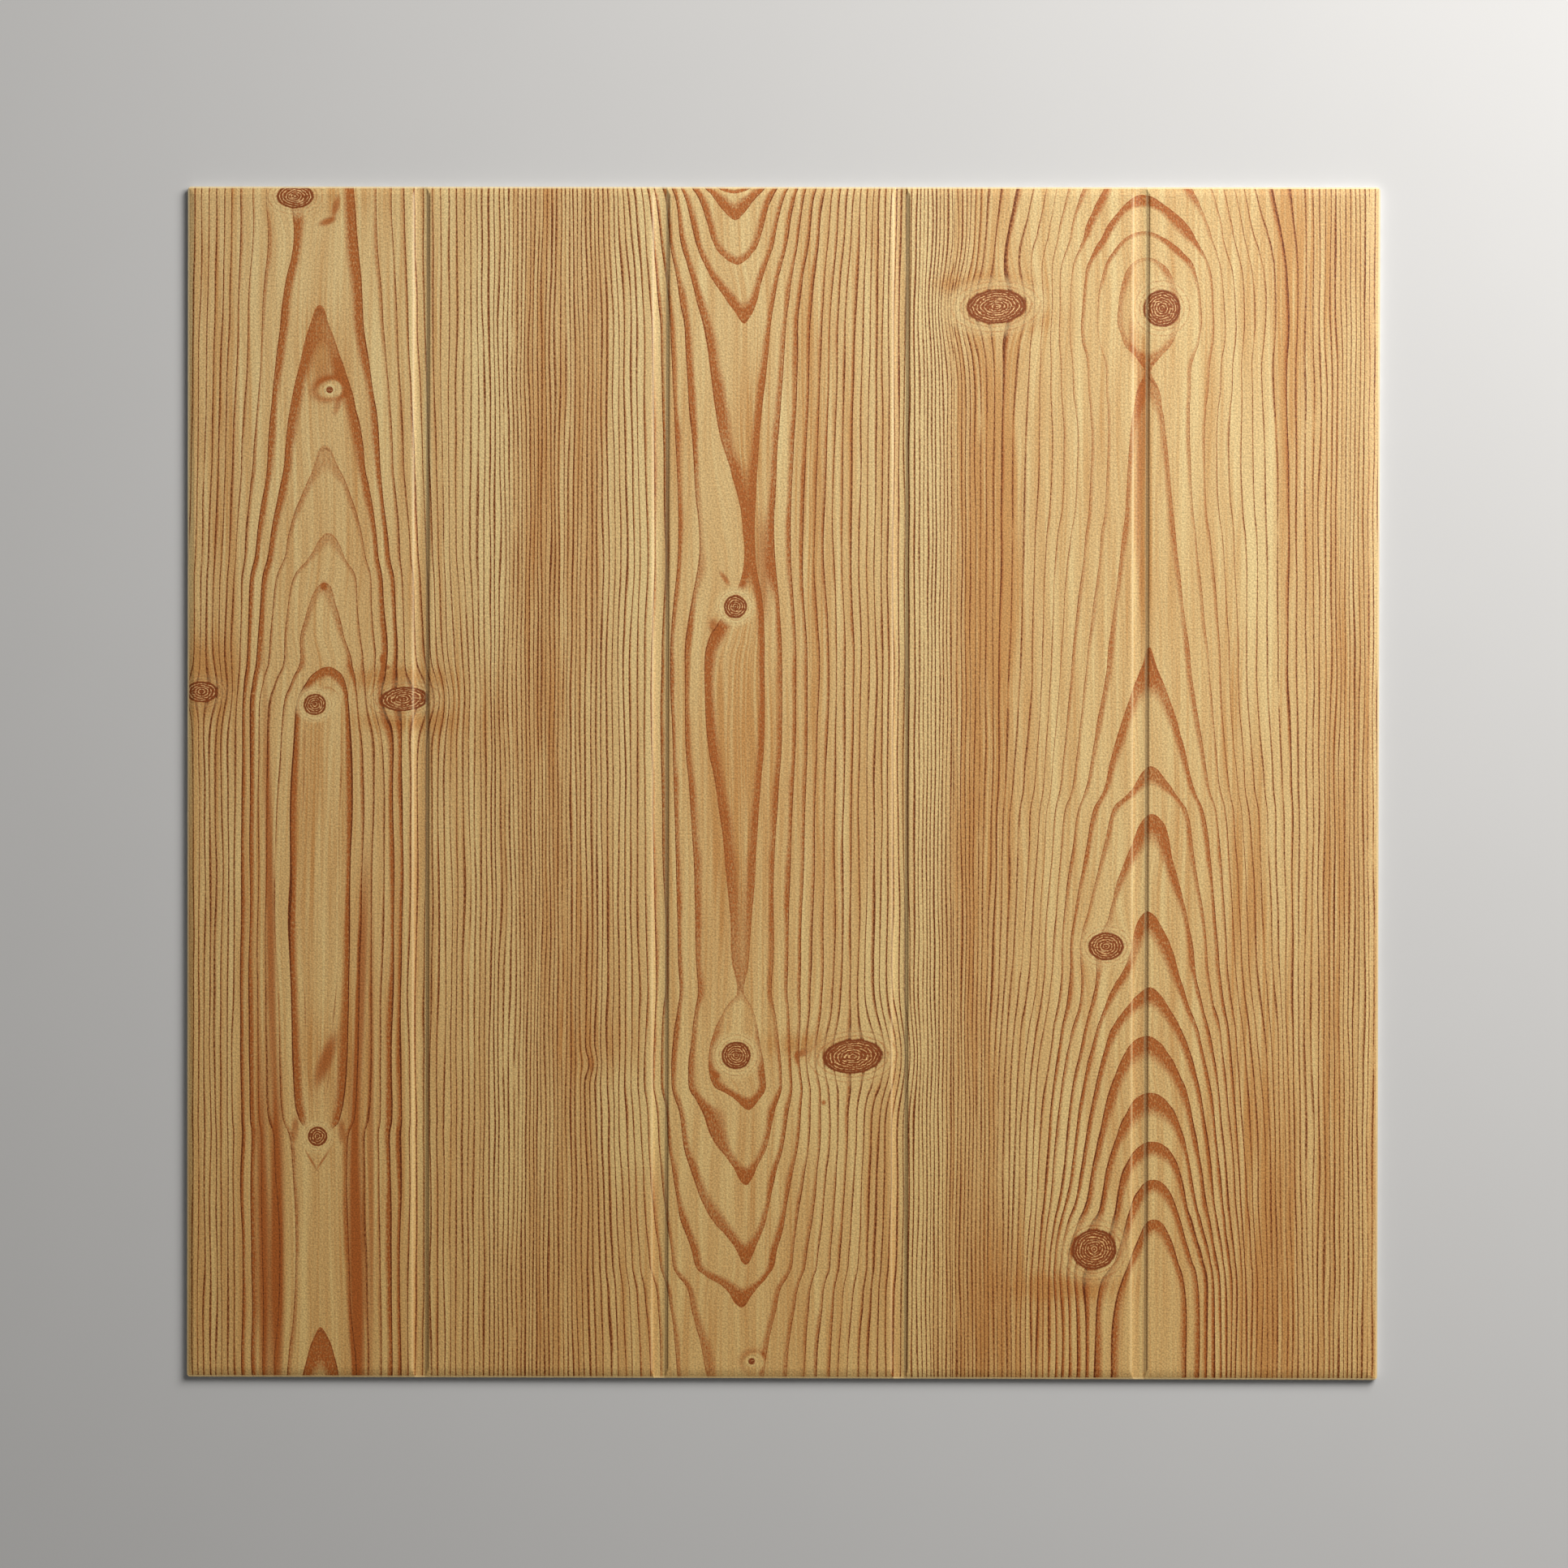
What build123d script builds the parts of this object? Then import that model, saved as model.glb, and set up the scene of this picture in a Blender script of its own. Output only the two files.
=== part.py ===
"""Square polystyrene foam ceiling tile, pressed to look like five timber boards side by side.

The tile is one piece of foam. It lies on its flat glue face, with the printed face up. Lengths are in
millimetres and angles in degrees, +Z is up, the boards run along Y, and the origin is the middle of the
glue face.
"""

import os
from math import cos, radians, sin

from build123d import *

# The tile blank
tile_side = 500.0
tile_thickness = 4.0
corner_radius = 1.5

# The grooves that part the boards, measured across the boards
groove_count = 4
groove_pitch = 100.6
groove_shift = -1.0
groove_depth = 1.1
groove_floor_width = 4.4
groove_wall_slope = 47.0
groove_shoulder_slope = 7.0
groove_shoulder_radius = 3.0

# The pressed rim, which slopes down to one height all round and swallows the grooves' ends. Each side's
# slope is an arc that stands proud of its chord by the bulge.
rim_drop = 1.15
left_rim_width = 2.9
left_rim_bulge = 0.06
right_rim_width = 5.2
right_rim_bulge = 0.06
far_rim_width = 3.4
far_rim_bulge = 0.06
near_rim_width = 4.4
near_rim_bulge = 0.22

half_side = tile_side / 2
half_floor = groove_floor_width / 2
floor_height = tile_thickness - groove_depth
rim_height = tile_thickness - rim_drop
overrun = 5.0
headroom = Vector(0, overrun)


def groove_cutter():
    """What one groove takes away, in a section across the boards: floor, steep walls and round shoulders."""
    steep = Vector(cos(radians(groove_wall_slope)), sin(radians(groove_wall_slope)))
    shoulder_drop = groove_shoulder_radius * (cos(radians(groove_shoulder_slope)) - steep.X)
    foot = Vector(half_floor, floor_height)
    wall_top = foot + steep * ((groove_depth - shoulder_drop) / steep.Y)
    with BuildSketch(mode=Mode.PRIVATE) as cutter:
        with BuildLine():
            Line((0, floor_height), foot)
            Line(foot, wall_top)
            shoulder = JernArc(
                wall_top, steep, groove_shoulder_radius, groove_shoulder_slope - groove_wall_slope
            )
            lead_out = Line(shoulder @ 1, shoulder @ 1 + (shoulder % 1) * overrun)
            Polyline(lead_out @ 1, lead_out @ 1 + headroom, (0, (lead_out @ 1 + headroom).Y))
            mirror(about=Plane.YZ)
        make_face()
    return cutter.sketch


def rim_cutter(width, bulge):
    """What the rim takes away along a side at +half_side, in a section square to that side."""
    outer = Vector(half_side, rim_height)
    inner = Vector(half_side - width, tile_thickness)
    crown = (outer + inner) * 0.5 + Vector(rim_drop, width).normalized() * bulge
    with BuildSketch(mode=Mode.PRIVATE) as cutter:
        with BuildLine():
            slope = ThreePointArc(outer, crown, inner)
            lead_in = Line(slope @ 0 - (slope % 0) * overrun, slope @ 0)
            lead_out = Line(slope @ 1, slope @ 1 + (slope % 1) * overrun)
            Polyline(lead_out @ 1, lead_out @ 1 + headroom, lead_in @ 0 + headroom * 2, lead_in @ 0)
        make_face()
    return cutter.sketch


with BuildPart() as tile:
    # The trimmed blank
    with BuildSketch():
        Rectangle(tile_side, tile_side)
    extrude(amount=tile_thickness)

    # The grooves, from end to end
    first_centre = groove_shift - groove_pitch * (groove_count - 1) / 2
    with BuildSketch(Plane.XZ):
        with Locations(*[(first_centre + groove_pitch * i, 0) for i in range(groove_count)]):
            add(groove_cutter())
    extrude(amount=half_side + overrun, both=True, mode=Mode.SUBTRACT)

    # The rims along the outer boards
    with BuildSketch(Plane.XZ):
        add(rim_cutter(right_rim_width, right_rim_bulge))
        mirror(rim_cutter(left_rim_width, left_rim_bulge), about=Plane.YZ)
    extrude(amount=half_side + overrun, both=True, mode=Mode.SUBTRACT)

    # The rims across the boards' ends, where the grooves run out
    with BuildSketch(Plane.YZ):
        add(rim_cutter(far_rim_width, far_rim_bulge))
        mirror(rim_cutter(near_rim_width, near_rim_bulge), about=Plane.YZ)
    extrude(amount=half_side + overrun, both=True, mode=Mode.SUBTRACT)

    # The four corners, seen from above
    uprights = tile.edges().filter_by(Axis.Z).filter_by(lambda e: abs(e.center().X) > half_side - overrun)
    fillet(uprights, radius=corner_radius)

tile.part.label = "ceiling_tile"

os.makedirs("parts", exist_ok=True)
export_step(tile.part, "parts/ceiling_tile.step")
print("tile", tile.part.bounding_box().size, "volume", round(tile.part.volume), "mm3")
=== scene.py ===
"""Foam ceiling tile with a pine plank print: the dressed tile, its floor, light and camera."""

import math
from collections import namedtuple

import bmesh
import bpy
from bpy.props import FloatProperty, FloatVectorProperty, PointerProperty
from bpy.types import Operator, Panel, PropertyGroup
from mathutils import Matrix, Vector


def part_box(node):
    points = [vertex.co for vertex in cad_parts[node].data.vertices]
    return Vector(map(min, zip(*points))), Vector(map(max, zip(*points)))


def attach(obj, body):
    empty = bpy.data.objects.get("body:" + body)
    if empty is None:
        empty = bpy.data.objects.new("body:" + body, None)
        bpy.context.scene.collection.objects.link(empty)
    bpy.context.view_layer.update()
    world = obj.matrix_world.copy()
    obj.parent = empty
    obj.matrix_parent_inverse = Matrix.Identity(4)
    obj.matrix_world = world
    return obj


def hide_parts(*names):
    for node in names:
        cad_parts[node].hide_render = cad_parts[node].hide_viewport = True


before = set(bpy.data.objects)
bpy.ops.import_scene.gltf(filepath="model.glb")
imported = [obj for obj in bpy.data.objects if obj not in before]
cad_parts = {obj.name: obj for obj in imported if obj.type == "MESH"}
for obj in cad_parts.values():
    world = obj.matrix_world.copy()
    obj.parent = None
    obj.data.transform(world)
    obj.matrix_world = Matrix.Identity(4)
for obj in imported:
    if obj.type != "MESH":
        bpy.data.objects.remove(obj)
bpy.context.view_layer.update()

bl_info = {
    "name": "Pine print ceiling tile",
    "version": (1, 0, 0),
    "blender": (4, 5, 0),
    "location": "3D View > Sidebar > Ceiling Tile",
    "description": "Builds a pressed foam ceiling tile with a printed pine face, its floor and its light",
    "category": "Object",
}

MM = 0.001
SIDE = 500.0


# --- shader maths


class Value:
    """A number that changes over the surface. Its arithmetic adds Math nodes."""

    def __init__(self, sheet, socket):
        self.sheet = sheet
        self.socket = socket

    def maths(self, operation, *numbers):
        made = self.sheet.node("ShaderNodeMath", {"operation": operation}, dict(enumerate(numbers)))
        return Value(self.sheet, made.outputs[0])

    def __add__(self, other):
        return self.maths("ADD", self, other)

    def __radd__(self, other):
        return self.maths("ADD", other, self)

    def __sub__(self, other):
        return self.maths("SUBTRACT", self, other)

    def __rsub__(self, other):
        return self.maths("SUBTRACT", other, self)

    def __mul__(self, other):
        return self.maths("MULTIPLY", self, other)

    def __rmul__(self, other):
        return self.maths("MULTIPLY", other, self)

    def __truediv__(self, other):
        return self.maths("DIVIDE", self, other)

    def __rtruediv__(self, other):
        return self.maths("DIVIDE", other, self)


def root(v):
    return v.maths("SQRT", v)


def exp(v):
    return v.maths("EXPONENT", v)


def cosine(v):
    return v.maths("COSINE", v)


def power(v, exponent):
    return v.maths("POWER", v, exponent)


def floor(v):
    return v.maths("FLOOR", v)


def size_of(v):
    return v.maths("ABSOLUTE", v)


def least(a, b):
    return a.maths("MINIMUM", a, b)


def greatest(a, b):
    return a.maths("MAXIMUM", a, b)


def rise(v, low, high, shape):
    """0 below low, 1 above high, with a rise of the named shape between."""
    made = v.sheet.node(
        "ShaderNodeMapRange",
        {"interpolation_type": shape, "clamp": True},
        {"Value": v, "From Min": low, "From Max": high, "To Min": 0.0, "To Max": 1.0},
    )
    return Value(v.sheet, made.outputs["Result"])


def ramp(v, low, high):
    """0 below low, 1 above high, with a smooth rise between."""
    return rise(v, low, high, "SMOOTHSTEP")


def linear(v, low, high):
    """0 below low, 1 above high, with a straight rise between."""
    return rise(v, low, high, "LINEAR")


def noise(where, wide, long, seed=0, detail=1.0):
    """Soft blotches of the given width and length in millimetres, from about -0.5 to 0.5."""
    made = where.sheet.node(
        "ShaderNodeTexNoise",
        {"noise_dimensions": "2D"},
        {
            "Vector": where.scaled(1.0 / wide, 1.0 / long, seed * 13.7, seed * -7.3),
            "Scale": 1.0,
            "Detail": detail,
            "Roughness": 0.5,
        },
    )
    return Value(where.sheet, made.outputs[0]) - 0.5


def white(v, seed=0):
    """A number from 0 to 1 for each whole number."""
    made = v.sheet.node(
        "ShaderNodeTexWhiteNoise", {"noise_dimensions": "1D"}, {"W": v + (seed * 31.7 + 0.25)}
    )
    return Value(v.sheet, made.outputs["Value"])


def curve(v, points, first=-SIDE / 2, last=SIDE / 2):
    """A smooth curve through the points, which run from one side of the tile to the other."""
    low = min(value for _, value in points)
    high = max(value for _, value in points)
    span = (high - low) or 1.0
    reach = last - first
    ends = sorted(((place - first) / reach, (value - low) / span) for place, value in points)
    share = v.maths("MULTIPLY_ADD", v, 1.0 / reach, -first / reach)
    made = v.sheet.node("ShaderNodeFloatCurve", {"points": ends}, {"Factor": 1.0, "Value": share})
    drawn = Value(v.sheet, made.outputs[0])
    return v.maths("MULTIPLY_ADD", drawn, span, low)


class Point:
    """A place on the print, in millimetres across and along."""

    def __init__(self, sheet, socket):
        self.sheet = sheet
        self.socket = socket

    def dot(self, other):
        made = self.sheet.node("ShaderNodeVectorMath", {"operation": "DOT_PRODUCT"}, {0: self, 1: other})
        return Value(self.sheet, made.outputs["Value"])

    def scaled(self, wide, long, shift_across, shift_along):
        made = self.sheet.node(
            "ShaderNodeMapping",
            {"vector_type": "POINT"},
            {"Vector": self, "Location": (shift_across, shift_along, 0.0), "Scale": (wide, long, 1.0)},
        )
        return made.outputs[0]


class Sheet:
    """A material's node tree, with one way to add a node."""

    def __init__(self, name):
        self.material = bpy.data.materials.new(name)
        self.material.use_nodes = True
        self.tree = self.material.node_tree
        self.tree.nodes.clear()

    def node(self, kind, settings=None, sockets=None):
        made = self.tree.nodes.new(kind)
        for name, setting in (settings or {}).items():
            if name == "points":
                self.draw_curve(made, setting)
            else:
                setattr(made, name, setting)
        for name, given in (sockets or {}).items():
            self.feed(made.inputs[name], given)
        return made

    def feed(self, socket, given):
        if isinstance(given, (Value, Point)):
            given = given.socket
        if isinstance(given, bpy.types.NodeSocket):
            self.tree.links.new(given, socket)
        elif socket.type == "RGBA":
            socket.default_value = (*given[:3], 1.0)
        else:
            socket.default_value = given

    @staticmethod
    def draw_curve(made, points):
        line = made.mapping.curves[0]
        line.points[0].location = points[0]
        line.points[-1].location = points[-1]
        for point in points[1:-1]:
            line.points.new(*point)
        for point in line.points:
            point.handle_type = "AUTO_CLAMPED"
        made.mapping.update()

    def place(self):
        """X and Y on the surface, in millimetres."""
        where = self.node("ShaderNodeTexCoord").outputs["Object"]
        parts = self.node("ShaderNodeSeparateXYZ", None, {0: where})
        return [Value(self, parts.outputs[i]) * (1.0 / MM) for i in range(2)]

    def point(self, x, y):
        made = self.node("ShaderNodeCombineXYZ", None, {"X": x, "Y": y, "Z": 1.0})
        return Point(self, made.outputs[0])

    def mix(self, way, share, first, second):
        made = self.node(
            "ShaderNodeMix",
            {"data_type": "RGBA", "blend_type": way, "clamp_factor": True},
            {0: share, 6: first, 7: second},
        )
        return made.outputs[2]

    def blend(self, share, first, second):
        """One colour fading into another by a share from 0 to 1."""
        return self.mix("MIX", share, first, second)

    def tint(self, share, colour, filter_colour):
        """A colour seen through a share of a filter."""
        return self.mix("MULTIPLY", share, colour, filter_colour)

    def shade(self, colour, share):
        """A colour made darker or lighter by a share."""
        grey = self.node("ShaderNodeCombineColor", None, {0: share, 1: share, 2: share})
        return self.mix("MULTIPLY", 1.0, colour, grey.outputs[0])

    def bumps(self, strength, distance, height):
        """The way that the surface faces, with small bumps as high as the distance, in metres."""
        settings = {"Strength": strength, "Distance": distance, "Height": height}
        return self.node("ShaderNodeBump", None, settings).outputs[0]

    def surface(self, sockets):
        """The shader itself, joined to the output."""
        shader = self.node("ShaderNodeBsdfPrincipled", None, sockets)
        self.node("ShaderNodeOutputMaterial", None, {"Surface": shader.outputs[0]})
        return self.material


# --- the pine print


# How far apart the rings lie in the straight grain, from the left side to the right side.
RING_PITCH = (
    (-250.5, 2.52), (-238.9, 2.38), (-229.4, 3.06), (-219.2, 4.42), (-210.7, 4.76), (-192, 4.59),
    (-178.4, 4.25), (-168.2, 4.08), (-158, 3.23), (-142.7, 2.79), (-127.4, 2.24), (-113.8, 1.77),
    (-90, 1.77), (-69.6, 2.11), (-57.7, 2.79), (-47.5, 3.91), (-39, 4.76), (-20.3, 4.93), (-1.6, 4.59),
    (8.6, 3.74), (25.6, 3.23), (37.5, 2.58), (52.8, 1.9), (66.4, 1.63), (90.2, 1.84), (101.1, 2.52),
    (114, 3.4), (127.6, 3.74), (153.1, 3.74), (175.2, 3.74), (182, 2.92), (199, 2.52), (216, 2.18),
    (250.7, 1.97),
)

# The three arched figures. The axis wanders across, the depth counts rings up to the tip, and the spread
# draws the arches together or apart. The neck does the same close to the axis. A low point makes sharp tips
# and a high one round tips. The fade, in square millimetres, is how far the axis takes the grain along.
FIGURES = (
    {
        "middle": -192,
        "axis": (
            (251, -194.4), (226.5, -193.7), (200.9, -194.4), (160.3, -193), (141.5, -192.3), (104.7, -191.3),
            (83.9, -192.3), (64.5, -193.7), (48.4, -190.6), (34.8, -192), (1.4, -193.4), (-114.6, -194.4),
            (-148.7, -194.4), (-228.9, -193.7), (-251.7, -194.4),
        ),
        "depth": (
            (251, 7.45), (226.5, 7.35), (209.4, 7.1), (200.2, 7), (192.4, 6.95), (181.8, 6.8), (160.3, 6.35),
            (141.5, 6), (133, 5.9), (124.1, 5.65), (104.7, 5), (95.2, 4.75), (83.9, 4), (73, 3.75),
            (61.1, 3.4), (48.4, 3), (46.4, 2.75), (43.3, 2.35), (39.6, 1.95), (34.8, 1.35), (28.6, 1.05),
            (15, 1), (-46.4, 1.1), (-97.5, 1.4), (-128.2, 1.8), (-141.9, 2.3), (-150.1, 3), (-157.2, 3.06),
            (-182.8, 3.1), (-216.9, 3.06), (-228.9, 3), (-237.4, 2.85), (-251.7, 2.5),
        ),
        "spread": ((251, 1), (-114.6, 1), (-182.8, 0.88), (-216.9, 0.88), (-251.7, 0.95)),
        "neck": 1,
        "point": 2,
        "fade": 225,
    },
    {
        "middle": -20.3,
        "axis": (
            (251, -20.3), (236, -19.9), (217.9, -19.3), (193.4, -15.9), (156.2, -16.2), (132.7, -14.5),
            (115.6, -12.1), (105.4, -11.4), (90, -10.1), (76.4, -11.1), (59.3, -15.2), (42.3, -17.6),
            (1.4, -17.2), (-46.4, -16.5), (-76.7, -16.9), (-104.4, -17.9), (-114.6, -19.3), (-137.1, -12.1),
            (-168.1, -13.5), (-202.3, -13.5), (-220, -16.5), (-251.7, -16.5),
        ),
        "depth": (
            (251, 1.1), (243.5, 2.5), (236, 3), (226.5, 3.4), (217.3, 4), (211.1, 4.35), (200.9, 4.74),
            (192.7, 5), (181.8, 5.15), (156.2, 5.45), (132.7, 5.68), (115.6, 5.8), (103.7, 5.84), (90, 5.8),
            (76.4, 5.55), (66.2, 5.35), (52.5, 5.2), (38.9, 5.22), (13.3, 5.34), (1.4, 5.49), (-24.2, 5.69),
            (-41.3, 5.77), (-58.3, 5.85), (-75.4, 5.9), (-86.6, 5.98), (-94.1, 5.83), (-101.6, 5.66),
            (-109.5, 5.52), (-118, 5.38), (-124.8, 5.37), (-131.7, 5.67), (-135.1, 5.89), (-137.1, 6),
            (-140.9, 6.12), (-148.7, 6.3), (-154.5, 6.48), (-162.3, 6.82), (-168.8, 7), (-176, 7.22),
            (-184.5, 7.46), (-190.7, 7.68), (-196.5, 7.88), (-202.3, 8), (-207.4, 8.4), (-214.2, 8.86),
            (-220.3, 9), (-227.1, 9.2), (-237.4, 9.4), (-251.7, 9.55),
        ),
        "spread": 1,
        "neck": ((251, 1), (137.8, 1), (117.3, 1.1), (103.7, 1.25), (79.8, 1), (-251.7, 1)),
        "point": 1.8,
        "fade": 110,
    },
    {
        "middle": 153.1,
        "axis": (
            (251, 150.1), (224.4, 151.1), (202.9, 153.1), (181.8, 152.8), (156.2, 152.8), (124.1, 153.1),
            (103, 153.5), (58, 153.5), (6.8, 154.8), (-12.3, 155.5), (-52.9, 153.1), (-84.9, 153.8),
            (-105, 152.8), (-129.6, 154.1), (-150.1, 155.5), (-165.4, 156.2), (-181.8, 156.5),
            (-216.9, 156.2), (-251.7, 156.2),
        ),
        "depth": (
            (251, 15.2), (246.9, 15), (239.4, 14.6), (231.6, 14), (223.1, 13.2), (211.1, 12.5),
            (199.2, 12.3), (185.5, 12.6), (177, 12.94), (172.6, 12.99), (166.8, 12.95), (151.4, 12.65),
            (137.8, 12.5), (124.1, 12.42), (103, 12.35), (70.9, 12.12), (57.3, 12), (47.4, 11.94),
            (38.9, 11.8), (21.8, 11.4), (7.5, 11), (-2, 10.7), (-12.6, 10), (-32.7, 9.55), (-46.4, 9.2),
            (-53.5, 9), (-63.4, 8.7), (-77.1, 8.3), (-85.3, 8), (-94.1, 7.6), (-105.7, 7), (-129.6, 6),
            (-150.1, 5), (-166.1, 4), (-182.8, 3), (-193, 2.55), (-203.3, 2.25), (-220.3, 2.06),
            (-251.7, 2.02),
        ),
        "spread": (
            (251, 0.75), (239.4, 0.72), (224.4, 0.9), (202.9, 0.9), (181.8, 0.8), (156.2, 1), (132.7, 1.12),
            (103, 0.97), (70.9, 0.86), (38.9, 0.78), (-12.6, 0.8), (-53.5, 0.75), (-85.3, 0.9),
            (-129.6, 0.95), (-165.8, 0.95), (-182.8, 0.85), (-199.9, 0.65), (-216.9, 0.5), (-251.7, 0.48),
        ),
        "neck": (
            (251, 1), (178.7, 1), (172.6, 0.9), (166.8, 0.8), (156.2, 1.15), (124.1, 1), (70.9, 1),
            (-251.7, 1),
        ),
        "point": ((251, 1.7), (-53.5, 1.7), (-85.3, 1.8), (-105.7, 2), (-150.1, 2.3), (-251.7, 2.5)),
        "fade": 225,
    },
)

# Where the rings of one figure meet those of the next.
MEETINGS = (-102.2, 71.5)

# Local bends of the grain: across, down, half width, half height, and how far the lines move aside.
BENDS = (
    (-213.1, -73.7, 6.8, 78.4, -2.4), (-174.3, -97.5, 7.5, 88.7, -1), (-208.3, -203.3, 5.4, 30.7, 2.4),
    (-179.8, -189.6, 6.1, 37.5, -1.7), (-207.3, 226.5, 4.1, 13.6, 2), (-1.6, -121.4, 4.8, 20.5, 1.4),
    (-33.9, -124.8, 4.8, 20.5, 1.4), (-80.5, -118, 3.4, 4.1, 1.7), (103.8, -46.4, 4.8, 54.6, 1.4),
    (-110.4, -80.5, 5.4, 68.2, 1.4), (-137.6, 107.1, 6.8, 54.6, -1.4), (197.3, 124.1, 8.2, 47.7, 1.7),
    (216, -114.6, 6.8, 54.6, -1.7), (15.4, 158.3, 4.8, 51.2, 1), (-90, 185.5, 6.1, 40.9, 1),
    (-229.4, -114.6, 4.8, 68.2, -1),
)

# Knots: across, down, half width, half height, tilt, growth rings, how far the grain parts round it, how
# much it lifts the rings of a figure, and how pale the wood round it is.
KNOTS = (
    (-204.9, 245.9, 7.8, 5.1, 0, 6, 0.6, 0, 0.4),
    (-190.3, 164.7, 1.4, 1.4, 0, 1, 0, -0.3, 1.5),
    (-196.4, 32.7, 4.8, 4.4, 0, 5, 0, 0, 0.9),
    (-244, 37.9, 6.8, 4.4, 0, 5, 0.8, 0, 0.2),
    (-159, 35.1, 10.2, 5.1, 4, 6, 0.8, 0, 0.2),
    (-195.1, -148.7, 4.1, 4.1, 0, 4, 0, 0, 0.9),
    (-19.9, 74, 4.8, 4.8, 0, 5, 0, -0.1, 1),
    (-19.3, -114.3, 6.1, 5.8, 0, 6, 0, -0.1, 0.9),
    (29.7, -114.6, 12.6, 7.2, 5, 8, 0.8, 0, 0.35),
    (89.2, 199.9, 12.6, 7.2, 4, 8, 0.8, 0, 0.5),
    (158.6, 199.2, 7.8, 7.8, 0, 7, 0, 0, 0.5),
    (135.8, -68.2, 7.5, 5.8, 0, 6, 0.8, 0, 0.5),
    (131, -195.4, 9.5, 8.5, 12, 8, 0.8, 0, 0.4),
    (-12.5, -242.8, 1.4, 1.4, 0, 1, 0, 0, 1.2),
)

# How dark each figure's rings are, from its heart outward.
RING_STRENGTH = (
    (0.0, 0.0, 1.25, 0.5, 0.3, 0.35, 1.0, 0.95, 0.45, 0.35, 0.5, 0.3, 0.5, 0.35, 0.5),
    (0.3, 0.5, 0.95, 0.75, 0.8, 0.8, 0.7, 0.7, 0.7, 0.5, 0.6, 0.45, 0.5, 0.6, 0.5),
    (0.3, 0.5, 0.75, 0.85, 0.85, 0.9, 0.9, 0.85, 0.85, 0.7, 0.65, 0.75, 0.55, 0.4, 0.85),
)

# Stretches where a ring is heavier or lighter: across, down, half width, half height, how much.
HEAVY_STRETCHES = (
    (-191, 184, 5.4, 13.5, -0.45), (-188.6, 45, 8.8, 4.8, 0.9), (-211.4, -56.6, 2, 68.2, -0.6),
    (-32.9, 107.1, 4.8, 27.3, -0.6), (-20.3, 246.9, 10.2, 8.2, 0.9), (-13.5, 124.1, 4.8, 27.3, 0.3),
    (-9.1, 90, 4.1, 17.1, 0.7), (-17.9, -97.5, 11.6, 9.5, -0.8), (132.7, 235, 6.8, 17.1, 1.1),
    (166.7, 235, 6.8, 13.6, 1.1), (153.5, 50.8, 4.8, 8.2, 0.4), (-179.4, 219.6, 2.7, 40.9, 0.3),
    (-192.7, -239.1, 5.4, 8.2, 0.2), (-31.5, 21.8, 2.7, 54.6, 0.3), (-6.7, 35.5, 2.7, 54.6, 0.4),
    (-13.5, -135.7, 10.2, 4.8, 0.6), (149.4, 245.2, 10.2, 3.4, 0.8), (-13.5, -167.5, 8.8, 5.5, 0.5),
    (-13.5, -201.6, 8.8, 5.5, 0.5), (-15.9, -219, 6.8, 4.1, 0.5), (134.4, 192.4, 4.8, 30.7, -0.3),
    (154.1, -118, 10.2, 64.8, 0.5), (-17.2, -66.8, 5.4, 20.5, -0.35), (148, 219.6, 13.6, 5.5, -0.3),
    (141.2, -56.6, 13.6, 20.5, -0.3), (-39, 158.3, 3.4, 68.2, 0.3),
)

# Broad bands and stains: across, down, half width, half height, and how warm (or pale, below zero).
BANDS = (
    (-236.9, 151.4, 4.8, 112.6, 0.35), (-240.3, 45.7, 8.8, 11.6, 0.9), (-219.2, -148.7, 4.8, 112.6, 0.35),
    (-178.4, -148.7, 5.4, 112.6, 0.4), (-194, 182.1, 6.1, 13.6, 0.6), (-99.5, 110.5, 7.5, 156.9, 0.3),
    (-75.7, 185.5, 4.8, 88.7, 0.25), (-124, 137.8, 8.2, 102.3, -0.5), (-62.8, 110.5, 8.2, 129.6, -0.45),
    (-84.5, -80.5, 6.8, 44.3, 0.4), (-75.7, -111.2, 15, 10.2, 0.35), (-61.1, -140.2, 13.6, 20.5, -0.7),
    (-114.5, -138.5, 8.8, 47.7, -0.5), (12, 137.8, 4.8, 88.7, 0.5), (60, 1.4, 5.8, 272.9, -0.8),
    (82.7, 55.9, 8.2, 143.2, 0.65), (93.6, 90, 6.8, 88.7, 0.5), (90.2, -216.9, 20.4, 40.9, 0.4),
    (95.3, -165.8, 11.6, 23.9, -0.4),
    (119.1, -158.9, 7.5, 37.5, -0.5), (199.7, 83.2, 6.1, 75, -0.4), (198.4, -131.7, 6.1, 95.5, 0.5),
    (209.2, -216.9, 10.2, 54.6, 0.5), (236.4, 45.7, 6.1, 51.2, 0.4), (212.6, 185.5, 6.8, 68.2, 0.5),
    (229.6, -63.4, 4.8, 102.3, 0.35), (188.8, 21.8, 4.8, 81.9, 0.3), (42.6, -77.1, 8.8, 27.3, -0.5),
    (15.4, -131.7, 11.6, 23.9, -0.5), (12, -109.8, 12.2, 4.1, 1), (-161.4, 43.7, 14.3, 3.4, 0.9),
    (-158, 25.9, 14.3, 3.4, 0.9), (103.1, 195.1, 8.2, 4.1, 0.6), (81.7, 209.4, 15.6, 3.4, 0.8),
    (-13.5, 137.8, 5.4, 30.7, 0.6), (-17.9, 21.8, 11.6, 37.5, 0.5), (-17.9, -39.6, 8.2, 34.1, 0.35),
    (150.7, 124.1, 2.7, 54.6, 0.9), (119.5, -211.5, 17, 4.1, 0.9), (-195.4, -8.9, 10.2, 30.7, 0.35),
    (-192.7, -114.6, 8.8, 13.6, 0.4), (-130.8, 28.6, 20.4, 20.5, 0.3), (216, 226.5, 20.4, 30.7, 0.3),
    (-193.7, 245.2, 15, 5.5, 0.4),
)

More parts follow.
